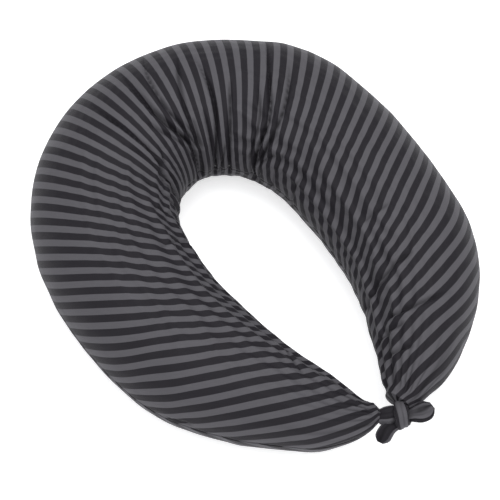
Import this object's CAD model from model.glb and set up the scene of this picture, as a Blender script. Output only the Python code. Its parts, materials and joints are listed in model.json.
import json
import bpy
import numpy as np
from math import cos, pi, radians, sin
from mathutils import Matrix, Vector


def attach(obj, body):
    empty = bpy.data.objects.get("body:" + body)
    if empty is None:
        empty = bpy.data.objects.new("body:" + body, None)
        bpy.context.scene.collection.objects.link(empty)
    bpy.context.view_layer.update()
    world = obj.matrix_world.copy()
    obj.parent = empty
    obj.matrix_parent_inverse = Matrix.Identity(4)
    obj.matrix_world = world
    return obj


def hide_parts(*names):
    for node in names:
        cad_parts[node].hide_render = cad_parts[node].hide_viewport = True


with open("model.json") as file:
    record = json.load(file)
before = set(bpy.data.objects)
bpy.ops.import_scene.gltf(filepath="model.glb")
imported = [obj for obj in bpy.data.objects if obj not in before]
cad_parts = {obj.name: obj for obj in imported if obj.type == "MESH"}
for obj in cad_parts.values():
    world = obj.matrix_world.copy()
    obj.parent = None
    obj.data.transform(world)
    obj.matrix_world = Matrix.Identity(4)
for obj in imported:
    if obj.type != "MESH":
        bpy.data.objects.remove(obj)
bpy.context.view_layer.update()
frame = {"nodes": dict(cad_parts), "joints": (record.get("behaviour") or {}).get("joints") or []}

JOINTS = {joint["name"]: joint for joint in frame["joints"]}

# -------- the ring's measures, metres
ARC = np.array(JOINTS["zip_run"]["pos_m"])  # centre of the arc that the zip follows
HUB = ARC[:2] - np.array([0.0, 0.135])  # point inside the opening that bearings are taken from
SEAM_Z = ARC[2]
ARC_R = 0.255
ZIP_HALF_ANGLE = 40.0  # degrees from the middle of the slot to each end
SLOT_HALF = 0.005  # half the slot's height
CROWN, BELLY, FULL = 0.090, 0.080, 0.100  # heights over and under the seams where it is FULL wide

# Bearing about the hub (0 at the knot, clockwise from above), inner and outer seam radius in mm.
OUTLINE = np.array([
    (4, 212, 230), (11, 178, 238), (18, 146, 240), (27, 113, 238), (38, 91, 232), (54, 76, 232),
    (72, 69, 241), (90, 70, 255), (108, 77, 277), (126, 98, 312), (144, 128, 351.4), (153, 149, 367.8),
    (162, 170, 380), (171, 187, 387.5), (180, 195, 390), (189, 192, 387.5), (198, 180, 380),
    (207, 162, 367.8), (216, 140, 351.4), (234, 102, 315), (252, 84, 280), (270, 77, 261),
    (288, 79, 256), (306, 86, 254), (322, 101, 251), (336, 126, 246), (345, 150, 242),
    (350, 178, 241), (355.5, 217, 236)])

# The cover's cloth: how far each panel, laid flat, has turned from its middle, by bearing.
FLAT_TURN = np.array([
    (4, -75), (15, -60), (30, -50), (80, -50), (130, -35), (190, 0), (205, 12), (245, 35),
    (270, 40), (335, 50), (355, 65)])

# Where the stuffed cover stands fuller than its smooth section: the bearing, how far round it
# spreads in degrees, and mm at the inner side and at the outer side.
BULGES = [
    (14, 7, 13, 0),     # left end, above the knot
    (36, 14, 3, 0),
    (77, 13, 2, 4),     # lower left
    (118, 14, 4, 0),
    (138, 14, 8, 0),    # hole's upper left
    (170, 16, 0, 3),    # top
    (212, 18, 7, 0),
    (222, 9, 0, 11),    # upper right
    (236, 14, 2, 1),
    (292, 10, 0, 5),    # right
    (306, 14, -2, 1),
    (344, 8, -1, 6),    # lower right
    (354, 7, 11, 0),    # right end, beside the knot
]

# Creases over the ring's top: depth and width in mm, then the line each follows, as bearing and
# degrees round the tube (0 at the outer seam, 90 on the crown, 180 at the inner seam).
CREASES = [
    (9, 5, [(178, 50), (176, 99), (177, 125), (181, 147), (182, 185)]),
    (7, 4, [(184, 44), (180, 96), (181, 126), (184, 150)]),
    (5, 4, [(190, 60), (187, 96), (185, 126), (186, 152)]),
    (8, 4, [(192, 66), (196, 120), (195, 150), (193, 190)]),
    (6, 4, [(201, 96), (202, 140), (202, 188)]),
    (9, 4, [(207, 40), (212, 93), (217, 129), (216, 159), (218, 190)]),
    (7, 5, [(214, 66), (220, 114), (220, 150), (217, 165)]),
    (8, 4, [(169, 58), (166, 93), (163, 129), (157, 150), (155, 190)]),
    (4, 4, [(151, 122), (149, 150), (147, 190)]),
    (4, 4, [(141, 128), (139, 160), (138, 190)]),
    (3, 4, [(121, 118), (124, 150), (126, 180)]),
    (3, 4, [(229, 126), (229, 160), (230, 190)]),
    (3, 4, [(242, 136), (242, 165), (243, 190)]),
    (3, 4, [(278, 100), (279, 128)]),
    (5, 5, [(304, 96), (309, 120), (316, 150)]),
    (5, 5, [(320, 60), (328, 102), (331, 138)]),
    (5, 5, [(311, 122), (317, 147), (321, 176)]),
    (4, 4, [(334, 110), (338, 165)]),
    (4, 4, [(341, 96), (345, 150)]),
    (3, 4, [(62, 9), (74, 4)]),
    (3, 4, [(30, 120), (48, 150)]),
]

STRIPE_PERIOD = 0.0171
FOLD_SHADE = 0.85  # how far a crease's bottom darkens

# Degrees round the tube, and how firmly the filling holds the cloth there.
HOLD_AROUND = np.array([
    (0, 0.45), (45, 0.38), (90, 0.30), (150, 0.24), (178, 0.38), (225, 0.34), (360, 0.45)])
CREASE_HOLD = 0.5
CLOTH = {
    "quality": 5, "mass": 0.15, "air_damping": 1.0, "tension_stiffness": 40, "compression_stiffness": 12,
    "shear_stiffness": 4, "bending_stiffness": 2.0, "tension_damping": 10, "compression_damping": 10,
    "shear_damping": 10, "bending_damping": 0.5, "vertex_group_mass": "hold", "pin_stiffness": 1.0,
    "use_pressure": True, "uniform_pressure_force": 5.0}
FRAMES = 24
PRESSED, REPRESSED = 0.4, 0.62  # shares of each crease pressed in before and after the cloth settles
PUCKER = 0.0006  # spread of the small unevenness all over, metres
MOST_SETTLED = 0.02  # how far the cloth may settle from the stuffed shape, metres
RESTING, LOWEST = 0.0012, 0.0010  # height of the cloth that lies on the floor, and the least allowed
ZIP_FLAT_DEG, SIDE_DEG, CALM_DEG = 14, 62, 72  # reach round the tube of each zone, from its seam
CALM_AROUND, CALM_ALONG = 6.0, 1.5  # smoothing of what the cloth does beside the outer seam

ALONG, HALF_ROUND = 400, 60  # the simulated tube's rows, and points over each panel
ROUND = 2 * HALF_ROUND
OUTLINE_STEPS = 2400
NO_HIT = 9.0  # metres, farther than any edge of the ring
rng = np.random.default_rng(11)


def spline(x, y, at):
    """Natural cubic spline through x, y, read at the given places."""
    n = len(x)
    h = np.diff(x)
    m = np.zeros((n, n))
    rhs = np.zeros((n,) + y.shape[1:])
    m[0, 0] = m[-1, -1] = 1
    for i in range(1, n - 1):
        m[i, i - 1], m[i, i], m[i, i + 1] = h[i - 1], 2 * (h[i - 1] + h[i]), h[i]
        rhs[i] = 6 * ((y[i + 1] - y[i]) / h[i] - (y[i] - y[i - 1]) / h[i - 1])
    c = np.linalg.solve(m, rhs)
    k = np.clip(np.searchsorted(x, at) - 1, 0, n - 2)
    a, b = (x[k + 1] - at) / h[k], (at - x[k]) / h[k]
    bend = ((a**3 - a) * c[k].T + (b**3 - b) * c[k + 1].T) * h[k] ** 2 / 6
    return (a * y[k].T + b * y[k + 1].T + bend).T


def around_hub(bearing, radius):
    turn = np.radians(bearing)
    return np.stack([HUB[0] - radius * np.sin(turn), HUB[1] - radius * np.cos(turn)], -1)


def bearing_of(points):
    return np.degrees(np.arctan2(-(points[:, 0] - HUB[0]), -(points[:, 1] - HUB[1]))) % 360


def apart(bearing, other):
    """Degrees between two bearings, either way round."""
    return np.abs((bearing - other + 180) % 360 - 180)


def blur(values, sigma, axis=0, wrap=False):
    """Gaussian smoothing along one axis, in steps."""
    reach = int(3 * sigma) + 1
    kernel = np.exp(-0.5 * (np.arange(-reach, reach + 1) / sigma) ** 2)
    kernel /= kernel.sum()
    sides = [(reach, reach) if k == axis else (0, 0) for k in range(values.ndim)]
    padded = np.pad(values, sides, "wrap" if wrap else "edge")
    out = np.zeros_like(values)
    size = values.shape[axis]
    for offset, weight in enumerate(kernel):
        out += weight * np.take(padded, range(offset, offset + size), axis)
    return out


def unit(vectors):
    return vectors / np.linalg.norm(vectors, axis=-1, keepdims=True)


def resample(points, count):
    """Points at even steps along a line, and the line's length."""
    steps = np.r_[0, np.cumsum(np.linalg.norm(np.diff(points, axis=0), axis=1))]
    want = np.linspace(0, steps[-1], count)
    return np.stack([np.interp(want, steps, points[:, k]) for k in range(points.shape[1])], 1), steps[-1]


def crossing(origin, heading, edge):
    """Distance from each origin along its heading to an edge line, no more than 1.5 of the nearest."""
    across = np.stack([heading[:, 1], -heading[:, 0]], 1)
    rel = edge[None] - origin[:, None]
    t = np.einsum("ijk,ik->ij", rel, across)
    d = np.einsum("ijk,ik->ij", rel, heading)
    cut = (t[:, :-1] * t[:, 1:] <= 0) & (d[:, :-1] > 0)
    share = np.abs(t[:, :-1]) / (np.abs(t[:, :-1]) + np.abs(t[:, 1:]) + 1e-12)
    reach = d[:, :-1] * (1 - share) + d[:, 1:] * share
    reach[~cut] = NO_HIT
    k = reach.argmin(1)
    got = reach[np.arange(len(origin)), k]
    nearest = np.linalg.norm(rel, axis=2).min(1)
    return np.where(got > 1.5 * nearest, nearest, got)


def outward_of(line):
    """Level direction across a line at each point, away from the hub."""
    run = unit(np.gradient(line, axis=0))
    normal = np.stack([-run[:, 1], run[:, 0]], 1)
    return normal if np.einsum("ij,ij->i", normal, middle - HUB).mean() >= 0 else -normal


bearings = np.linspace(OUTLINE[0, 0], OUTLINE[-1, 0], OUTLINE_STEPS)
radii = spline(OUTLINE[:, 0], OUTLINE[:, 1:] / 1000, bearings)
inner_edge, outer_edge = around_hub(bearings, radii[:, 0]), around_hub(bearings, radii[:, 1])
middle, _ = resample((inner_edge + outer_edge) / 2, ALONG)
for _ in range(4):  # each round moves the line nearer to the middle between both seams
    outward = outward_of(blur(middle, 3))
    to_out = crossing(middle, outward, outer_edge)
    to_in = crossing(middle, -outward, inner_edge)
    shift = blur((to_out - to_in) / 2, 4)
    shift[:4] *= np.linspace(0, 1, 4)
    shift[-4:] *= np.linspace(1, 0, 4)
    middle, length = resample(middle + outward * shift[:, None], ALONG)
outward = outward_of(blur(middle, 3))
full_width = crossing(middle, outward, outer_edge) + crossing(middle, -outward, inner_edge)
half_width = blur(full_width / 2, 2)

# -------- target shape of the stuffed cover
def rise(half, full):
    """Height of the tube over its seams: full where it is FULL wide, less where it is narrower."""
    return full * np.tanh(half / full) / np.tanh(FULL / full)


# Around the tube: index 0 is the outer seam, then over the crown, the inner seam, and back below.
angle = np.arange(ROUND) * 2 * pi / ROUND
across = half_width[:, None] * np.cos(angle)
height = np.where(np.sin(angle) >= 0, rise(half_width, CROWN)[:, None], rise(half_width, BELLY)[:, None])
target = np.zeros((ALONG, ROUND, 3))
target[..., :2] = middle[:, None] + outward[:, None] * across[..., None]
target[..., 2] = np.maximum(SEAM_Z + height * np.sin(angle), RESTING)

# -------- the cut of the flat panels
centre_bearing = bearing_of(middle)
turned = np.radians(blur(np.interp(centre_bearing, FLAT_TURN[:, 0], FLAT_TURN[:, 1]), 12))
step = length / (ALONG - 1)
EASE_ALONG = 1.05  # the flat cloth is a little longer than the stuffed ring
flat_line = np.cumsum(np.stack([np.cos(turned), np.sin(turned)], 1) * step * EASE_ALONG, axis=0)
flat_line -= flat_line[np.abs(turned).argmin()]
flat_side = np.stack([-np.sin(turned), np.cos(turned)], 1)
gap = np.linalg.norm(np.roll(target, -1, axis=1) - target, axis=2)
quarter = gap.sum(1) / 4
TIP_QUARTER = 0.046  # the flat cloth stays this wide where it is gathered at the necks
quarter = blur((quarter**6 + TIP_QUARTER**6) ** (1 / 6), 3)
top_share = np.cumsum(np.concatenate([np.zeros((ALONG, 1)), gap[:, :HALF_ROUND]], 1), 1)
top_share = top_share / top_share[:, -1:]
low_share = np.cumsum(np.concatenate([np.zeros((ALONG, 1)), gap[:, HALF_ROUND:]], 1), 1)
low_share = 1 - low_share / low_share[:, -1:]
share = np.concatenate([top_share[:, :HALF_ROUND], low_share[:, :HALF_ROUND]], 1)
flat_across = quarter[:, None] * (1 - 2 * share)  # + towards the outer seam
flat = np.zeros((ALONG, ROUND, 3))
flat[..., :2] = flat_line[:, None] - flat_side[:, None] * flat_across[..., None]


def grid_faces(rows, columns, wrap=True):
    """Four-sided faces of a grid of points, closed round its columns or open."""
    i, j = np.meshgrid(np.arange(rows - 1), np.arange(columns if wrap else columns - 1), indexing="ij")
    k = (j + 1) % columns
    corners = [i * columns + j, (i + 1) * columns + j, (i + 1) * columns + k, i * columns + k]
    return np.stack(corners, -1).reshape(-1, 4)


def make_mesh(name, points, faces):
    mesh = bpy.data.meshes.new(name)
    mesh.from_pydata(np.asarray(points).reshape(-1, 3).tolist(), [], [tuple(face) for face in faces])
    mesh.polygons.foreach_set("use_smooth", np.ones(len(mesh.polygons), bool))
    mesh.update()
    thing = bpy.data.objects.new(name, mesh)
    bpy.context.scene.collection.objects.link(thing)
    return thing


DEEP_FROM, BESIDE_DEG = 7, 3.6  # mm that count as deep, and how far off the thinner creases start


def companions():
    """Thinner creases on both sides of each deep one, drawn towards it at the inner seam."""
    beside = []
    for deep, wide, path in CREASES:
        if deep >= DEEP_FROM:
            for side, start in ((-1, 1), (1, 2)):
                kept = path[start:]
                aside = side * (BESIDE_DEG + start) * np.linspace(1, 0.35, len(kept))
                offset = [(bearing + turn, around) for (bearing, around), turn in zip(kept, aside)]
                beside.append((0.5 * deep, 0.8 * wide, offset))
    return beside


CREASE_STEPS, CREASE_REACH = 60, 24  # points along a crease, and rows around it that it moves
RIDGE, RIDGE_AWAY, RIDGE_WIDE = 0.32, 2.4, 1.2  # the low ridge beside each valley, in its widths


def crease_fields(surface, narrow=1.0, power=1.5):
    """How far each crease pulls every point in (m), and how close each point is to one (0 to 1)."""
    rows, columns = surface.shape[:2]
    depth = np.zeros((rows, columns))
    close = np.zeros((rows, columns))
    for deep, wide, path in CREASES + companions():
        wide = wide * narrow
        path = np.array(path, float)
        walk = np.linspace(0, len(path) - 1, CREASE_STEPS)
        bearing = spline(np.arange(len(path), dtype=float), path[:, :1], walk)[:, 0]
        around = spline(np.arange(len(path), dtype=float), path[:, 1:], walk)[:, 0]
        row = np.interp(bearing, centre_bearing, np.linspace(0, rows - 1, ALONG))
        column = around * columns / 360
        line = surface[row.astype(int), column.astype(int)]
        line = line + (row % 1)[:, None] * (surface[row.astype(int) + 1, column.astype(int)] - line)
        line = blur(line, 1.5)
        low, high = int(row.min()) - CREASE_REACH, int(row.max()) + CREASE_REACH + 1
        near_rows = slice(max(low, 0), min(high, rows))
        away = np.linalg.norm(surface[near_rows, :, None] - line, axis=3)
        share = away.argmin(2) / (len(walk) - 1)
        away = away.min(2) * 1000
        fade = np.clip(np.minimum(share * 5, (1.15 - share) * 4), 0, 1)
        ridge = np.exp(-(((away - RIDGE_AWAY * wide) / (RIDGE_WIDE * wide)) ** 2))
        depth[near_rows] += deep / 1000 * fade * (np.exp(-((away / wide) ** power)) - RIDGE * ridge)
        shade = fade * np.clip(deep / DEEP_FROM, 0.4, 1) * np.exp(-((away / wide) ** 2))
        close[near_rows] = np.maximum(close[near_rows], shade)
    return depth, close


# Pleats at the left and right neck: how far they reach along the tube and how high they stand.
PLEATS = ((0.060, 0.0030), (0.055, 0.0034))
FOLD_COUNTS = (7, 9, 11, 14)


def gathers():
    """Pleats that fan out of both necks (m, outwards), and how close each point is to a fold line."""
    from_left = np.arange(ALONG) * step
    from_right = from_left[::-1]
    pleats, lines = np.zeros((ALONG, ROUND)), np.zeros((ALONG, ROUND))
    for start, (reach, height_m) in zip((from_left, from_right), PLEATS):
        wave = np.zeros(ROUND)
        for folds in FOLD_COUNTS:
            wave += np.cos(folds * angle + rng.uniform(0, 2 * pi))
        fade = np.exp(-((start / reach) ** 1.4)) * np.clip(start / 0.02, 0.25, 1)
        wave = wave / 1.7 + 0.12 * np.sin(3 * angle + start[:, None] / 0.012)
        pleats += height_m * fade[:, None] * (np.abs(wave) ** 0.8 - 0.9)
        lines += fade[:, None] * np.exp(-((wave / 0.32) ** 2))
    return pleats, lines


def near_zip_arc(margin, fade, arc):
    """1 within the zip's arc and margin degrees past it, fading to 0 over the given degrees."""
    return np.clip((ZIP_HALF_ANGLE + margin - np.abs(arc)) / fade, 0, 1)[:, None]


def hold_map(crease_near):
    """How firmly the stuffing keeps the cloth in place: slack over the inner side, fixed at the zip."""
    firm = np.interp(np.degrees(angle), HOLD_AROUND[:, 0], HOLD_AROUND[:, 1])
    hold = np.maximum(np.tile(firm, (ALONG, 1)), CREASE_HOLD * crease_near)
    from_seam = np.minimum(np.arange(ROUND), ROUND - np.arange(ROUND))
    fixed = np.interp(from_seam, [3, 9], [1.0, 0.4]) * near_zip_arc(9, 6, arc_angle)
    hold = np.maximum(hold, fixed)
    hold[:2] = hold[-2:] = 1.0
    return hold.round(2)


def sew_and_stuff(start, hold):
    """Cloth simulation: the flat panels' cloth, pulled over the stuffed ring, settles into its folds."""
    scale = 10.0
    cloth = make_mesh("cover_sim", start * scale, grid_faces(ALONG, ROUND))
    cloth.shape_key_add(name="Basis")
    cut = cloth.shape_key_add(name="flat_cut")
    cut.data.foreach_set("co", (flat * scale).reshape(-1).astype(np.float32))
    cut.value = 0.0
    group = cloth.vertex_groups.new(name="hold")
    for weight in np.unique(hold):
        group.add(np.flatnonzero(hold.ravel() == weight).tolist(), float(weight), "REPLACE")
    mod = cloth.modifiers.new("Cloth", "CLOTH")
    for key, value in CLOTH.items():
        setattr(mod.settings, key, value)
    mod.settings.rest_shape_key = cut
    mod.settings.effector_weights.gravity = 0.2
    mod.collision_settings.use_self_collision = False
    mod.collision_settings.use_collision = False
    scene = bpy.context.scene
    mod.point_cache.frame_start, mod.point_cache.frame_end = 1, FRAMES
    for f in range(1, FRAMES + 1):
        scene.frame_set(f)
    dg = bpy.context.evaluated_depsgraph_get()
    done = cloth.evaluated_get(dg).to_mesh()
    got = np.zeros(len(done.vertices) * 3)
    done.vertices.foreach_get("co", got)
    bpy.data.objects.remove(cloth)
    scene.frame_set(1)
    return got.reshape(ALONG, ROUND, 3) / scale


out_of_tube = unit(target - target.mean(1, keepdims=True))
arc_angle = np.degrees(np.arctan2(target[:, 0, 0] - ARC[0], target[:, 0, 1] - ARC[1]))
zip_rows = np.abs(arc_angle) < ZIP_HALF_ANGLE + 3
fuller = np.stack([
    sum(row[k] * np.exp(-((apart(bearing_of(target[:, column]), row[0]) / row[1]) ** 2)) for row in BULGES)
    for column, k in ((HALF_ROUND, 2), (0, 3))], 1)
fuller = blur(fuller, 5) / 1000
from_outer = np.minimum(angle, 2 * pi - angle)
inner_side = np.exp(-(((angle - pi) / radians(SIDE_DEG)) ** 4))
outer_side = np.exp(-((from_outer / radians(SIDE_DEG)) ** 4))
past_zip = np.clip((np.abs(arc_angle) - 36) / 8, 0, 1)[:, None]
fullness = fuller[:, :1] * inner_side + fuller[:, 1:] * outer_side * past_zip
puckers = blur(blur(rng.normal(0, 1, (ALONG, ROUND)), 2.0), 3.0, 1, True)
puckers *= PUCKER / puckers.std()
depth, near_crease = crease_fields(target)
pleats, pleat_lines = gathers()
lift = puckers + pleats - PRESSED * depth
lift[:2] = lift[-2:] = 0
lift += fullness
flat_zone = np.exp(-((from_outer / radians(ZIP_FLAT_DEG)) ** 4))
lift -= lift * flat_zone * near_zip_arc(8, 4, arc_angle)
goal = target + out_of_tube * lift[..., None]
goal[..., 2] = np.maximum(goal[..., 2], RESTING)
cover = sew_and_stuff(goal, hold_map(near_crease))
moved = cover - target
far = np.linalg.norm(moved, axis=2, keepdims=True)
cover = target + moved * np.minimum(1, MOST_SETTLED / np.maximum(far, 1e-9))
beside_seam = np.exp(-((from_outer / radians(CALM_DEG)) ** 6))
at_zip = near_zip_arc(12, 8, arc_angle) * np.exp(-((from_outer / radians(22)) ** 2))
moved = cover - target
calm = blur(blur(moved, CALM_AROUND, 1, True), CALM_ALONG) * (1 - at_zip)[..., None]
cover += (calm - moved) * beside_seam[:, None]
cover[..., 2] = np.maximum(cover[..., 2], LOWEST)

# -------- the cover's two panels
ROWS, HALF_COLUMNS = 880, 104
COLUMNS = 2 * HALF_COLUMNS
HEM = 0.0016  # how far the panels' edges are turned in
SEAM_GROOVE = 0.0009  # how deep the seam lies
SLOT_EASE = 0.018  # how far from the zip's mouth the cloth gives way to it
FINE_CREASE, FINE_POWER = 0.45, 1.0  # the second press is narrower and sharper than the first
OFF_SEAM = 0.05  # mark of cloth that is far from the seams


def refine(grid):
    """Catmull-Rom resampling of a tube of points to a finer one."""
    def weights(t):
        return np.stack([
            -0.5 * t + t**2 - 0.5 * t**3, 1 - 2.5 * t**2 + 1.5 * t**3,
            0.5 * t + 2 * t**2 - 1.5 * t**3, -0.5 * t**2 + 0.5 * t**3])

    at = np.linspace(0, grid.shape[0] - 1, ROWS)
    base = np.minimum(at.astype(int), grid.shape[0] - 2)
    part = weights(at - base)[:, :, None, None]
    grid = sum(part[k] * grid[np.clip(base + k - 1, 0, grid.shape[0] - 1)] for k in range(4))
    at = np.arange(COLUMNS) * grid.shape[1] / COLUMNS
    base = at.astype(int)
    part = weights(at - base)[:, None, :, None]
    return sum(part[k] * grid[:, (base + k - 1) % grid.shape[1]] for k in range(4))


fine = refine(cover)
fine_arc = np.degrees(np.arctan2(fine[:, 0, 0] - ARC[0], fine[:, 0, 1] - ARC[1]))
fine_depth, fine_close = crease_fields(refine(target), FINE_CREASE, FINE_POWER)
fine_close = np.maximum(fine_close, refine(pleat_lines[..., None])[..., 0].clip(0, 1))
fine_angle = np.minimum(np.arange(COLUMNS), COLUMNS - np.arange(COLUMNS)) * 2 * pi / COLUMNS
near_zip = np.exp(-((fine_angle / radians(ZIP_FLAT_DEG)) ** 4))
fine_depth *= 1 - near_zip * near_zip_arc(8, 4, fine_arc)
fine -= refine(out_of_tube) * (REPRESSED * fine_depth)[..., None]
fine_flat = refine(flat)
fine_edge = refine((quarter[:, None] - np.abs(flat_across))[..., None])[..., 0]
core = fine.mean(1, keepdims=True)
mouth = np.clip((ZIP_HALF_ANGLE + 0.3 - np.abs(fine_arc)) / 0.8, 0, 1)
mouth = SLOT_HALF * mouth**2 * (3 - 2 * mouth)


def piece(name, points, faces, cut=None, edge=None, inside=None):
    """New mesh object with its cloth coordinates as UV maps; faces look away from the point inside."""
    thing = make_mesh(name, points, faces)
    mesh = thing.data
    if inside is not None:
        face = mesh.polygons[len(mesh.polygons) // 2]
        if face.normal.dot(face.center - Vector(inside)) < 0:
            mesh.flip_normals()
    corner = np.zeros(len(mesh.loops), int)
    mesh.loops.foreach_get("vertex_index", corner)
    for label, values in (("cut", cut), ("edge", edge)):
        if values is not None:
            layer = mesh.uv_layers.new(name=label)
            layer.data.foreach_set("uv", values.reshape(-1, 2)[corner].ravel().astype(np.float32))
    return thing


def paint(thing, material):
    thing.data.materials.clear()
    thing.data.materials.append(material)


def dress(thing, slot_name, material, *nodes, body="pillow"):
    """Places a finished piece: its body, its slot, its material and the CAD nodes it stands for."""
    paint(thing, material)
    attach(thing, body)
    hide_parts(*nodes)


def with_hems(values):
    """One more value at each seam, for the edge that is turned in."""
    return np.concatenate([values[:, :1], values, values[:, -1:]], 1)


def cover_panel(name, order):
    """One panel from the outer to the inner seam, with its hems and with the zip's mouth opened."""
    grid = fine[:, order]
    along = np.linalg.norm(np.diff(grid, axis=1), axis=2)
    along = np.concatenate([np.zeros((ROWS, 1)), along.cumsum(1)], 1)
    pulled = along + mouth[:, None] * np.clip(1 - along / SLOT_EASE, 0, 1)
    sheet = np.concatenate([grid, fine_flat[:, order, :2]], 2)
    for row in range(ROWS):
        for k in range(sheet.shape[2]):
            sheet[row, :, k] = np.interp(pulled[row], along[row], sheet[row, :, k])
    shaped, cut = sheet[..., :3], sheet[..., 3:]
    inward = core - shaped
    inward[..., 2] = 0
    inward /= np.maximum(np.linalg.norm(inward, axis=2, keepdims=True), 1e-6)
    shaped[:, 0] += inward[:, 0] * SEAM_GROOVE * (1 - mouth / SLOT_HALF)[:, None]
    shaped[:, -1] += inward[:, -1] * 0.25 * SEAM_GROOVE
    points = with_hems(shaped)
    points[:, [0, -1]] += inward[:, [0, -1]] * HEM
    marks = np.stack([with_hems(fine_edge[:, order]), with_hems(fine_close[:, order])], -1)
    faces = grid_faces(ROWS, points.shape[1], False)
    panel = piece(name, points, faces, with_hems(cut), marks, tuple(core[ROWS // 2, 0]))
    smooth = np.ones((ROWS - 1, points.shape[1] - 1), bool)
    smooth[:, [0, -1]] = False
    panel.data.polygons.foreach_set("use_smooth", smooth.ravel())
    return panel


top_order = np.arange(HALF_COLUMNS + 1)
low_order = (-top_order) % COLUMNS
cover_top = cover_panel("cover_top", top_order)
cover_bottom = cover_panel("cover_bottom", low_order)

# -------- inside: bag, filling, seam edges
BAG_IN, FILLING_IN = 0.013, 0.0145  # how far inside the cover they lie
inner_rows = slice(8, ALONG - 14)


def shrunk(distance):
    """The stuffed shape without its creases, pulled in towards the middle of the tube."""
    middle_line = target.mean(1, keepdims=True)
    reach = target - middle_line
    size = np.linalg.norm(reach, axis=2, keepdims=True)
    room = distance + blur(blur(1.5 * depth.clip(0), 2), 1, 1, True)[..., None]
    pulled = middle_line + reach * np.maximum(1 - room / size, 0.45)
    pulled[..., 2] = np.maximum(pulled[..., 2], RESTING + distance * 0.35)
    return pulled[inner_rows]


def close_ends(grid, keep):
    """Rounds both ends of a tube of points to a blunt tip."""
    out = grid.copy()
    for end in range(8):
        size = sin(radians(8 + 82 * end / 8))
        for row in (end, len(grid) - 1 - end):
            middle_point = grid[row].mean(0)
            out[row] = middle_point + (grid[row] - middle_point) * size * keep
    return out


def half_tube_piece(name, grid, top):
    """The upper or lower half of a tube, with the cloth coordinates of the panel over it."""
    order = np.arange(HALF_ROUND + 1) if top else (-np.arange(HALF_ROUND + 1)) % ROUND
    faces = grid_faces(len(grid), HALF_ROUND + 1, False)
    inside = grid[len(grid) // 2].mean(0)
    return piece(name, grid[:, order], faces, flat[inner_rows][:, order, :2], inside=inside)


def closed_tube_piece(name, grid):
    """A tube closed at both ends."""
    rows, columns = grid.shape[:2]
    points = np.concatenate([grid.reshape(-1, 3), grid[0].mean(0)[None], grid[-1].mean(0)[None]])
    faces = grid_faces(rows, columns).tolist()
    for k in range(columns):
        after = (k + 1) % columns
        faces.append([after, k, rows * columns])
        faces.append([(rows - 1) * columns + k, (rows - 1) * columns + after, rows * columns + 1])
    return make_mesh(name, points, faces)


bag = close_ends(shrunk(BAG_IN), 1.0)
bag_top = half_tube_piece("bag_top", bag, True)
bag_bottom = half_tube_piece("bag_bottom", bag, False)
stuffing = closed_tube_piece("stuffing", close_ends(shrunk(FILLING_IN), 0.97))


def ribbon(line, inward, start, thickness, height):
    """Upright strip beside a line: from start to start + thickness along the inward direction."""
    near, far = line + inward * start, line + inward * (start + thickness)
    up = np.array([0, 0, height / 2])
    return np.stack([near - up, near + up, far + up, far - up], 1)


def seam_ribbon(name, spans, column, start, thickness, height):
    """Strips inside a seam, one for each span of rows."""
    points, faces, offset = [], [], 0
    for rows in spans:
        line = cover[rows, column]
        inward = target[rows].mean(1) - target[rows, column]
        inward[:, 2] = 0
        ring = ribbon(line, unit(inward), start, thickness, height)
        points.append(ring.reshape(-1, 3))
        faces += (grid_faces(len(ring), 4) + offset).tolist()
        faces += [[offset, offset + 1, offset + 2, offset + 3]]
        last = offset + 4 * (len(ring) - 1)
        faces += [[last + 3, last + 2, last + 1, last]]
        offset += 4 * len(ring)
    thing = make_mesh(name, np.concatenate(points), faces)
    thing.data.polygons.foreach_set("use_smooth", np.zeros(len(thing.data.polygons), bool))
    return thing


first_zip, last_zip = np.flatnonzero(zip_rows)[[0, -1]]
EDGE_IN, EDGE_THICK, EDGE_HIGH = 0.0024, 0.0008, 0.004
THREAD_IN, THREAD_SIZE = 0.0105, 0.0008
binding_outer = seam_ribbon(
    "seam_edge_outer", [slice(10, first_zip), slice(last_zip + 1, ALONG - 8)], 0,
    EDGE_IN, EDGE_THICK, EDGE_HIGH)
binding_inner = seam_ribbon(
    "seam_edge_inner", [slice(10, ALONG - 8)], HALF_ROUND, EDGE_IN, EDGE_THICK, EDGE_HIGH)
left_side = np.flatnonzero((centre_bearing > 62) & (centre_bearing < 118))
bag_thread = seam_ribbon(
    "bag_thread", [slice(left_side[0], left_side[-1])], 0, THREAD_IN, THREAD_SIZE, THREAD_SIZE)

# -------- gathered necks and the knot
def hub_points(*places):
    """Points given in mm from the hub, as the ties are laid out."""
    return [np.append(HUB, 0) + np.array(place) / 1000 for place in places]


LEFT_TIP = np.append(around_hub(4, 0.221), SEAM_Z) + np.array([0.0038, -0.0048, 0])
RIGHT_TIP = np.append(around_hub(355.5, 0.2265), SEAM_Z) + np.array([-0.0036, -0.0014, 0.0034])
TIP_RADIUS = 0.0046
NECK_RINGS, NECK_CUT = 18, 0.012  # rings of points, and how much cloth each neck takes


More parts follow.
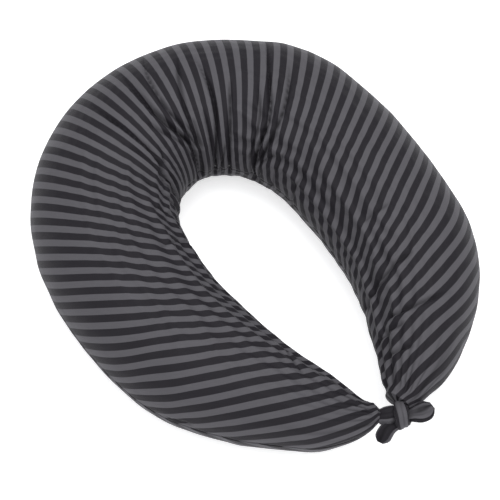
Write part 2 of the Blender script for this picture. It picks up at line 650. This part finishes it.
def neck_cone(name, ring, cut_ring, cut_step, tip, heading_to):
    """Cloth drawn together from the cover's last ring to the tie."""
    toward = unit(heading_to)
    middle_point = ring.mean(0)
    spoke = ring - middle_point
    spoke = unit(spoke - toward * (spoke @ toward)[:, None])
    share = np.linspace(0, 1, NECK_RINGS)[:, None, None]
    turn = np.arange(len(ring)) * 2 * pi / len(ring)
    pleat = 0.5 * np.cos(11 * turn) + 0.35 * np.cos(7 * turn + 1.0) + 0.25 * np.cos(16 * turn + 2.0)
    tip_ring = tip + spoke * (TIP_RADIUS * (1 + 0.16 * pleat))[:, None]
    ease = share**0.8
    points = ring * (1 - ease) + tip_ring * ease
    points += spoke * (0.0009 * pleat)[:, None] * np.sin(pi * share)
    cut = cut_ring[None] + cut_step * share[..., :1] * NECK_CUT
    folds = np.clip(-pleat - 0.1, 0, 1)
    marks = np.broadcast_to(np.stack([np.full(folds.shape, OFF_SEAM), folds], 1), cut.shape)
    return piece(name, points, grid_faces(NECK_RINGS, len(ring)), cut, marks, inside=middle_point)


left_cone = neck_cone(
    "left_neck_gather", fine[0], fine_flat[0, :, :2],
    -np.array([cos(turned[0]), sin(turned[0])]), LEFT_TIP, LEFT_TIP - fine[0].mean(0))
right_cone = neck_cone(
    "right_neck_gather", fine[-1], fine_flat[-1, :, :2],
    np.array([cos(turned[-1]), sin(turned[-1])]), RIGHT_TIP, RIGHT_TIP - fine[-1].mean(0))

BAND_STEPS, BAND_AROUND = 120, 40


def band(name, route, sizes, side_up, groove, fold_turn, stripe_from=0.0):
    """Folded cloth band along a smooth route.

    sizes gives, at shares of the route, its half width and half thickness in mm. side_up is the
    direction that its flat face looks towards, groove the depth of the furrow near its end,
    fold_turn where its folds lie and stripe_from where its stripes start.
    """
    route = np.array(route)
    walk = np.r_[0, np.cumsum(np.linalg.norm(np.diff(route, axis=0), axis=1))]
    share = np.linspace(0, 1, BAND_STEPS)
    line = spline(walk / walk[-1], route, share)
    line, _ = resample(line, BAND_STEPS)
    sizes = np.array(sizes, float)
    wide = np.interp(share, sizes[:, 0], sizes[:, 1]) / 1000
    thick = np.interp(share, sizes[:, 0], sizes[:, 2]) / 1000
    wide, thick = blur(wide, 2.5), blur(thick, 2.5)
    run = unit(np.gradient(line, axis=0))
    up = np.array(side_up, float)
    up = np.array([np.interp(share, np.linspace(0, 1, len(up)), up[:, k]) for k in range(3)]).T
    side = unit(np.cross(run, up))
    up = np.cross(side, run)
    turn = np.arange(BAND_AROUND) * 2 * pi / BAND_AROUND
    wave = np.cos(8 * turn + 1.7 + 5 * share[:, None])
    crease = (0.09 * np.cos(5 * turn + fold_turn + 3 * share[:, None])
              + 0.08 * wave
              + 0.03 * np.cos(13 * turn + 2 * fold_turn))
    across_m = wide[:, None] * np.cos(turn) * (1 + crease)
    above_m = thick[:, None] * np.sign(np.sin(turn)) * np.abs(np.sin(turn)) ** 0.8 * (1 + crease)
    furrow = np.clip(5 * share - 3, 0, 1)[:, None] * np.exp(-(((np.cos(turn) - 0.2) / 0.26) ** 2))
    above_m *= 1 - groove * furrow
    folds = np.clip(0.9 * furrow + np.clip(-wave - 0.6, 0, 1), 0, 1)
    ripple = np.sin(9 * share[:, None] + 2 * np.cos(turn)) * np.clip(wide / thick - 1, 0, 1)[:, None]
    above_m += thick[:, None] * 0.25 * ripple
    points = line[:, None] + side[:, None] * across_m[..., None] + up[:, None] * above_m[..., None]
    cut = np.stack([
        np.broadcast_to(turn / pi * STRIPE_PERIOD + stripe_from, across_m.shape),
        np.broadcast_to(walk[-1] * share[:, None], across_m.shape)], -1)
    rows = len(points)
    faces = grid_faces(rows, BAND_AROUND).tolist()
    faces.append(list(range(BAND_AROUND)))
    faces.append([(rows - 1) * BAND_AROUND + k for k in reversed(range(BAND_AROUND))])
    middle_row = rows // 2
    marks = np.stack([np.full(folds.shape, OFF_SEAM), folds], -1)
    thing = piece(name, points, faces, cut, marks)
    mesh = thing.data
    face = mesh.polygons[middle_row * BAND_AROUND]
    if face.normal.dot(face.center - Vector(line[middle_row])) < 0:
        mesh.flip_normals()
    return thing


left_tie = band(
    "left_tie",
    [LEFT_TIP - np.array([0.004, -0.0006, 0]), *hub_points(
        (-8, -229, 68), (0, -232, 69), (7, -235.5, 67), (8, -240.5, 64), (1, -244, 63),
        (-8, -243, 62.5), (-16, -243, 61), (-24, -246, 58.5), (-32, -250, 55))],
    [(0, 8.4, 7.2), (0.12, 11, 7.8), (0.24, 10.4, 6.6), (0.36, 7, 4.6), (0.5, 6, 3.8),
     (0.62, 7.4, 3.8), (0.76, 9.6, 4.2), (0.9, 9.8, 3.6), (0.97, 7, 2.6), (1, 2.8, 1.3)],
    [(0, 0, 1), (0.1, -0.1, 1), (0.4, -0.3, 1), (0, -0.3, 1), (0, 0, 1)], 0.45, 0.4, 0.0085)
right_tie = band(
    "right_tie",
    [RIGHT_TIP + np.array([0.0018, 0.0007, -0.0016]), *hub_points(
        (12.5, -230.5, 73), (9.5, -236, 77), (6, -242.5, 77.5), (3, -248.5, 73.5), (3, -252, 66),
        (6.5, -251, 59.5), (13, -246.5, 59), (21, -246, 61.5), (30, -249.5, 63.5),
        (40, -252, 66.5), (47.5, -252.5, 69.5))],
    [(0, 6.5, 5.4), (0.1, 8.2, 4.8), (0.22, 9.2, 4.4), (0.34, 8.8, 4.0), (0.46, 7.6, 3.4),
     (0.56, 6.6, 3.4), (0.66, 9.6, 4.2), (0.78, 12, 4.8), (0.9, 12.2, 4.4), (0.96, 9, 3.4),
     (1, 3.4, 1.4)],
    [(0.2, 0.6, 1), (0.1, 0.2, 1), (0, -0.9, 0.5), (0, -0.9, -0.5), (0, -0.2, -1), (0, 0.2, -1),
     (0, 0.3, -1)], 0.6, 2.0)


# -------- zip
def arc_point(angle_deg, radius, z):
    """Points at a radius about the middle of the zip's arc."""
    turn = np.radians(angle_deg)
    height_m = np.broadcast_to(z, turn.shape)
    return np.stack([ARC[0] + radius * np.sin(turn), ARC[1] + radius * np.cos(turn), height_m], -1)


def out_of_arc(angle_deg):
    return arc_point(angle_deg, 1.0, 0.0) - arc_point(angle_deg, 0.0, 0.0)


CHAIN_HALF_ANGLE = 37.5
TOOTH_PITCH, COIL_STEPS, WIRE_SIDES = 0.0015, 10, 6
COIL_MIDDLE_R, COIL_DEEP, COIL_TALL, COIL_WIRE = 0.2541, 0.00068, 0.00093, 0.0003
COIL_MIDDLE_Z = 0.00168


def coil_half(name, side):
    """Nylon coil of one chain half: a flattened helix with one turn per tooth."""
    turns = int(np.radians(2 * CHAIN_HALF_ANGLE) * COIL_MIDDLE_R / TOOTH_PITCH)
    steps = turns * COIL_STEPS
    share = np.linspace(0, 1, steps)
    bearing = -CHAIN_HALF_ANGLE + 2 * CHAIN_HALF_ANGLE * share
    twist = 2 * pi * turns * share
    radius = COIL_MIDDLE_R + COIL_DEEP * np.sin(twist)
    height_m = SEAM_Z + side * (COIL_MIDDLE_Z + COIL_TALL * np.cos(twist))
    line = arc_point(bearing, radius, height_m)
    run = unit(np.gradient(line, axis=0))
    out = out_of_arc(bearing)
    out = unit(out - run * np.einsum("ij,ij->i", out, run)[:, None])
    third = np.cross(run, out)
    turn = (np.arange(WIRE_SIDES) * 2 * pi / WIRE_SIDES)[:, None]
    points = line[:, None] + COIL_WIRE * (out[:, None] * np.cos(turn) + third[:, None] * np.sin(turn))
    return piece(name, points, grid_faces(steps, WIRE_SIDES))


STITCH_PITCH, STITCH_LENGTH, STITCH_THICK = 0.0036, 0.0029, 0.00034
STITCH_R, STITCH_FROM_SEAM, STITCH_SINK = 0.25495, 0.0075, 0.00035


def stitches(name, side):
    """Dashed topstitch beside the zip: one short rounded stitch after another."""
    count = int(np.radians(2 * ZIP_HALF_ANGLE) * ARC_R / STITCH_PITCH)
    points, faces = [], []
    rows, columns = 7, 6
    for k in range(count):
        centre_deg = -ZIP_HALF_ANGLE + (k + 0.5) * 2 * ZIP_HALF_ANGLE / count
        share = np.linspace(-1, 1, rows)
        bearing = centre_deg + np.degrees(share * STITCH_LENGTH / 2 / ARC_R)
        sink = STITCH_SINK * share**4
        radius = np.sqrt(np.maximum(1 - share**4, 0.02)) * STITCH_THICK
        line = arc_point(bearing, STITCH_R - sink, SEAM_Z + side * STITCH_FROM_SEAM)
        out = out_of_arc(bearing)
        turn = np.arange(columns) * 2 * pi / columns
        ring = line[:, None] + radius[:, None, None] * (
            out[:, None] * np.cos(turn)[:, None] + np.array([0, 0, 1.0]) * np.sin(turn)[:, None])
        offset = k * rows * columns
        points.append(ring.reshape(-1, 3))
        faces += (grid_faces(rows, columns) + offset).tolist()
        faces.append([offset + c for c in range(columns)])
        faces.append([offset + (rows - 1) * columns + c for c in reversed(range(columns))])
    return piece(name, np.concatenate(points), faces)


coil_upper, coil_lower = coil_half("coil_upper", 1), coil_half("coil_lower", -1)
stitch_upper, stitch_lower = stitches("topstitch_upper", 1), stitches("topstitch_lower", -1)
ROUNDED = {
    "zip_slider_body": 0.00035, "zip_pull_tab": 0.0002, "zip_bottom_stop": 0.0003, "zip_top_stops": 0.0003}
for node, width in ROUNDED.items():
    round_off = frame["nodes"][node].modifiers.new("rounded", "BEVEL")
    round_off.width, round_off.segments, round_off.limit_method = width, 2, "ANGLE"

# -------- care label
LABEL_BEARING, LABEL_WIDTH, LABEL_DROP = 226, 0.022, 0.030
LABEL_ACROSS, LABEL_DOWN, LABEL_COLUMNS = 15, 21, 12  # its points, and the cover's points beside it


def hanging_label():
    """Satin label sewn into the outer seam, lying on the belly and curling off it at its foot."""
    row = np.interp(LABEL_BEARING, bearing_of(cover[:, 0]), np.arange(ALONG))
    spread = LABEL_WIDTH / 2 / np.linalg.norm(cover[int(row) + 1, 0] - cover[int(row), 0])
    rows, drops = np.linspace(row - spread, row + spread, LABEL_ACROSS), np.linspace(0, 1, LABEL_DOWN)
    columns = np.arange(LABEL_COLUMNS)
    low = cover[:, (-columns) % ROUND]
    fall = np.r_[0, np.linalg.norm(np.diff(low[int(row)], axis=0), axis=1).cumsum()]
    column = np.interp(drops * LABEL_DROP, fall, columns)
    grid = np.empty((LABEL_ACROSS, LABEL_DOWN, 3))
    for a, r in enumerate(rows):
        edge_line = low[int(r)] * (1 - r % 1) + low[int(r) + 1] * (r % 1)
        for k in range(3):
            grid[a, :, k] = np.interp(column, columns, edge_line[:, k])
    out = grid[LABEL_ACROSS // 2, 0] - core[int(row * ROWS / ALONG), 0]
    out[2] = 0
    grid += unit(out) * (0.0012 + 0.003 * drops**2)[None, :, None]
    grid[..., 2] += 0.0006 * np.sin(np.linspace(0, pi, LABEL_ACROSS))[:, None] * drops[None]
    wide = np.linspace(0, LABEL_WIDTH, LABEL_ACROSS)
    cut = np.stack(np.meshgrid(wide, drops * LABEL_DROP, indexing="ij"), -1)
    thing = piece("care_label_cloth", grid, grid_faces(LABEL_ACROSS, LABEL_DOWN, False), cut)
    shell = thing.modifiers.new("thickness", "SOLIDIFY")
    shell.thickness, shell.offset = 0.0005, 1
    return thing


label = hanging_label()

# -------- materials
DARK, LIGHT = (0.0138, 0.0125, 0.0155), (0.0738, 0.0711, 0.0786)


class Shader:
    """A material's node tree, built one node at a time."""

    def __init__(self, name, roughness, **shader):
        self.material = bpy.data.materials.new(name)
        self.material.use_nodes = True
        self.tree = self.material.node_tree
        self.surface = self.tree.nodes["Principled BSDF"]
        self.surface.inputs["Roughness"].default_value = roughness
        for key, value in shader.items():
            self.surface.inputs[key.replace("_", " ")].default_value = value

    def add(self, kind, settings=None, **inputs):
        node = self.tree.nodes.new("ShaderNode" + kind)
        for key, value in (settings or {}).items():
            setattr(node, key, value)
        for key, value in inputs.items():
            key = int(key[1:]) if key[0] == "i" and key[1:].isdigit() else key.replace("_", " ")
            self.feed(node.inputs[key], value)
        return node

    def feed(self, socket, value):
        if isinstance(value, bpy.types.NodeSocket):
            self.tree.links.new(value, socket)
        else:
            socket.default_value = value

    def math(self, operation, a, b=0.0):
        return self.add("Math", {"operation": operation}, i0=a, i1=b).outputs[0]

    def mix(self, share, a, b, blend="MIX"):
        node = self.add("Mix", {"data_type": "RGBA", "blend_type": blend}, i0=share)
        self.feed(node.inputs[6], a)
        self.feed(node.inputs[7], b)
        return node.outputs[2]

    def uv(self, label):
        node = self.add("UVMap", {"uv_map": label})
        parts = self.add("SeparateXYZ", Vector=node.outputs[0])
        return node.outputs[0], parts.outputs[0], parts.outputs[1]

    def ramp(self, value, low=0.0, high=1.0, to_low=0.0, to_high=1.0):
        """Carries low to high over to to_low to to_high, no further at either end."""
        return self.add("MapRange", Value=value, From_Min=low, From_Max=high,
                        To_Min=to_low, To_Max=to_high).outputs[0]

    def whole(self):
        """The object's own coordinates."""
        return self.add("TexCoord").outputs["Object"]

    def grey(self, value):
        return self.add("CombineXYZ", X=value, Y=value, Z=value).outputs[0]

    def uneven(self, where, scale, tint, low, high):
        """A colour that varies with noise between two shares of a tint."""
        ends = [colour([v * share for v in tint]) for share in (low, high)]
        return self.mix(self.noise(where, scale), *ends)

    def noise(self, where, scale, detail=3.0):
        return self.add("TexNoise", Vector=where, Scale=scale, Detail=detail).outputs["Fac"]

    def stretch(self, where, x, y, z=1.0):
        return self.add("VectorMath", {"operation": "MULTIPLY"}, i0=where, i1=(x, y, z)).outputs[0]

    def bump(self, height, strength, distance, before=None):
        node = self.add("Bump", Strength=strength, Distance=distance, Height=height)
        if before is not None:
            self.tree.links.new(before, node.inputs["Normal"])
        return node.outputs[0]

    def finish(self, colour, normal=None, roughness=None):
        self.feed(self.surface.inputs["Base Color"], colour)
        if normal is not None:
            self.feed(self.surface.inputs["Normal"], normal)
        if roughness is not None:
            self.feed(self.surface.inputs["Roughness"], roughness)
        return self.material


def colour(rgb):
    return (*rgb, 1.0)


def weave_height(s, x, y, thread_wide):
    """Over-and-under threads: two crossing waves."""
    warp, weft = (s.math("SINE", s.math("MULTIPLY", way, 2 * pi / thread_wide)) for way in (x, y))
    return s.math("MULTIPLY", warp, weft)


def striped_cloth(name):
    """Yarn-dyed sateen: dark and grey stripes of one width, a fine weave and soft puckers by the seams."""
    s = Shader(name, 0.6, Sheen_Weight=0.05, Sheen_Roughness=0.35, Sheen_Tint=(0.86, 0.84, 0.92, 1),
               Specular_IOR_Level=0.1)
    cut, x, y = s.uv("cut")
    _, from_seam, fold = s.uv("edge")
    wobble = s.math("MULTIPLY", s.math("SUBTRACT", s.noise(cut, 9.0), 0.5), 0.0012)
    across = s.math("ADD", x, wobble)
    phase = s.math("FRACT", s.math("DIVIDE", across, STRIPE_PERIOD))
    from_middle = s.math("ABSOLUTE", s.math("SUBTRACT", phase, 0.5))
    band_edge = s.ramp(from_middle, 0.222, 0.252)
    yarn = s.stretch(cut, 900.0, 60.0)
    light, dark = s.uneven(yarn, 1.0, LIGHT, 0.9, 1.1), s.uneven(yarn, 1.0, DARK, 0.88, 1.14)
    cloth = s.mix(band_edge, light, dark)
    patchy = s.ramp(s.noise(cut, 14.0, 4.0), to_low=0.93, to_high=1.07)
    cloth = s.mix(1.0, cloth, s.grey(patchy), "MULTIPLY")
    seam_line = s.ramp(from_seam, 0.0005, 0.0018, 0.72, 1.0)
    cloth = s.mix(1.0, cloth, s.grey(seam_line), "MULTIPLY")
    cloth = s.mix(s.math("MULTIPLY", fold, FOLD_SHADE), cloth, colour([v * 0.4 for v in DARK]))
    weave = s.bump(weave_height(s, x, y, 0.0009), 0.25, 0.00012)
    crumple = s.bump(s.noise(s.stretch(cut, 42.0, 16.0), 1.0, 4.0), 0.32, 0.0045, weave)
    near_seam = s.ramp(from_seam, 0.002, 0.022, 1.0, 0.0)
    ruck = s.math("MULTIPLY", s.noise(s.stretch(cut, 170.0, 24.0), 1.0, 2.0), near_seam)
    normal = s.bump(ruck, 0.35, 0.004, crumple)
    return s.finish(cloth, normal)


def plain_cloth(name, tint, thread_wide, roughness, sheen, spread=0.12, uv="cut"):
    """Plain woven or knitted cloth in one colour, with thread relief and slight unevenness."""
    s = Shader(name, roughness, Sheen_Weight=sheen, Sheen_Roughness=0.5)
    if uv:
        where, x, y = s.uv(uv)
    else:
        where = s.whole()
        parts = s.add("SeparateXYZ", Vector=where)
        x, y = s.math("ADD", parts.outputs[0], parts.outputs[1]), parts.outputs[2]
    base = s.uneven(where, 260.0, tint, 1 - spread, 1 + spread)
    weave = s.bump(weave_height(s, x, y, thread_wide), 0.5, thread_wide * 0.2)
    return s.finish(base, s.bump(s.noise(where, 90.0), 0.25, 0.002, weave))


def sewing_thread(name, tint, twist=0.0012):
    """Sewing thread: fine slanted plies with a slight shine."""
    s = Shader(name, 0.55, Sheen_Weight=0.3)
    where = s.whole()
    parts = s.add("SeparateXYZ", Vector=where)
    slant = s.math("ADD", s.math("ADD", parts.outputs[0], parts.outputs[1]), parts.outputs[2])
    ply = s.math("SINE", s.math("MULTIPLY", slant, 2 * pi / twist))
    base = s.uneven(where, 400.0, tint, 0.85, 1.15)
    return s.finish(base, s.bump(ply, 0.5, 0.0001))


def enamel(name, tint):
    """Painted zinc: smooth black coat with a little orange peel and faint scuffs."""
    s = Shader(name, 0.32, Metallic=0.0, Coat_Weight=0.4, Coat_Roughness=0.25, Specular_IOR_Level=0.55)
    where = s.whole()
    scuffs = s.ramp(s.noise(where, 900.0, 6.0), 0.62, 0.72)
    base = s.mix(scuffs, colour(tint), colour([v * 3 for v in tint]))
    rough = s.ramp(s.noise(where, 500.0), to_low=0.26, to_high=0.44)
    return s.finish(base, s.bump(s.noise(where, 1500.0), 0.12, 0.0002), rough)


def nylon(name, tint):
    """Moulded nylon: half glossy, with fine mould marks."""
    s = Shader(name, 0.38, Specular_IOR_Level=0.5)
    where = s.whole()
    base = s.uneven(where, 700.0, tint, 0.85, 1.25)
    return s.finish(base, s.bump(s.noise(where, 2500.0), 0.15, 0.0001))


top_cloth, under_cloth = striped_cloth("striped sateen"), striped_cloth("striped sateen underside")
neck_cloth = striped_cloth("gathered sateen")
bag_cloth = plain_cloth("bag cotton", (0.72, 0.70, 0.65), 0.0009, 0.9, 0.1)
fibre = plain_cloth("filling fibre", (0.82, 0.82, 0.80), 0.0025, 0.95, 0.4, 0.06, None)
overlock = sewing_thread("overlocked edge", (0.035, 0.034, 0.038), 0.0016)
bag_sewing = sewing_thread("bag thread", (0.68, 0.67, 0.62))
dark_sewing = sewing_thread("topstitch thread", (0.06, 0.058, 0.064))
tape_knit = plain_cloth("zip tape knit", (0.030, 0.029, 0.032), 0.0007, 0.85, 0.15, 0.15, None)
coil_nylon = nylon("zip coil nylon", (0.026, 0.026, 0.029))
black_enamel = enamel("zip enamel", (0.035, 0.035, 0.038))
satin = plain_cloth("label satin", (0.78, 0.78, 0.76), 0.0005, 0.45, 0.3, 0.04)

# -------- placing
dress(cover_top, "striped_cover", top_cloth, "cover_top_panel")
dress(cover_bottom, "striped_cover_under", under_cloth, "cover_bottom_panel")
dress(bag_top, "bag_cloth", bag_cloth, "inner_bag_top_panel")
dress(bag_bottom, "bag_cloth", bag_cloth, "inner_bag_bottom_panel")
dress(stuffing, "filling", fibre, "filling")
dress(bag_thread, "bag_thread", bag_sewing, "bag_closing_thread")
dress(binding_outer, "seam_binding", overlock, "seam_binding_outer")
dress(binding_inner, "seam_binding", overlock, "seam_binding_inner")
dress(left_cone, "neck_cloth", neck_cloth, "left_neck_binding")
dress(right_cone, "neck_cloth", neck_cloth, "right_neck_binding")
dress(left_tie, "tie_cloth", neck_cloth, "left_tie_band")
dress(right_tie, "tie_cloth", neck_cloth, "right_tie_band")
dress(coil_upper, "zip_coil", coil_nylon, "zip_coil_upper")
dress(coil_lower, "zip_coil", coil_nylon, "zip_coil_lower")
dress(stitch_upper, "topstitch", dark_sewing, "zip_topstitch_upper")
dress(stitch_lower, "topstitch", dark_sewing, "zip_topstitch_lower")
dress(label, "care_label", satin, "care_label")
for node, material in (
    ("zip_tape_upper", tape_knit), ("zip_tape_lower", tape_knit), ("zip_top_stops", black_enamel),
    ("zip_bottom_stop", black_enamel), ("zip_slider_body", black_enamel), ("zip_pull_tab", black_enamel),
):
    paint(frame["nodes"][node], material)

# -------- stage, light and camera
FLOOR_SIZE = 30.0
bpy.ops.mesh.primitive_plane_add(size=FLOOR_SIZE, location=(0, 0, 0))
floor = bpy.context.object
floor.name = "floor"
paper = Shader("pale floor", 0.9, Specular_IOR_Level=0.1, Emission_Color=(1, 1, 1, 1), Emission_Strength=0.5)
floor.data.materials.append(paper.finish(paper.mix(
    paper.noise(paper.whole(), 3.0), (0.90, 0.90, 0.905, 1), (0.92, 0.92, 0.925, 1))))

world = bpy.data.worlds.new("studio")
bpy.context.scene.world = world
world.use_nodes = True
sky = world.node_tree.nodes["Background"]
sky.inputs["Color"].default_value = (0.97, 0.98, 1.0, 1)
sky.inputs["Strength"].default_value = 0.72

AIM = Vector((0, 0, 0.05))


def look_along(name, data, place, heading):
    """A lamp or camera at a place, looking along a heading."""
    holder = bpy.data.objects.new(name, data)
    holder.location = place
    holder.rotation_euler = heading.to_track_quat("-Z", "Y").to_euler()
    bpy.context.scene.collection.objects.link(holder)
    return holder


def softbox(name, place, size, power):
    lamp = bpy.data.lights.new(name, "AREA")
    lamp.size, lamp.energy = size, power
    look_along(name, lamp, place, AIM - Vector(place))


softbox("key", (0.3, 0.35, 2.0), 1.6, 21.0)
softbox("fill", (-1.2, -0.4, 1.8), 1.4, 11.0)
softbox("front", (0.3, -1.3, 1.9), 1.4, 14.0)

VIEW_AZIMUTH, VIEW_ELEVATION, VIEW_DISTANCE = radians(-35.5), radians(61), 2.4
look_at = Vector((HUB[0] - 0.0109, HUB[1] + 0.0579, 0.075))
back = Vector((
    sin(VIEW_AZIMUTH) * cos(VIEW_ELEVATION), -cos(VIEW_AZIMUTH) * cos(VIEW_ELEVATION), sin(VIEW_ELEVATION)))
lens = bpy.data.cameras.new("camera")
lens.lens, lens.sensor_width = 132.5, 36
bpy.context.scene.camera = look_along("camera", lens, look_at + back * VIEW_DISTANCE, -back)
bpy.context.scene.view_settings.view_transform = "Standard"
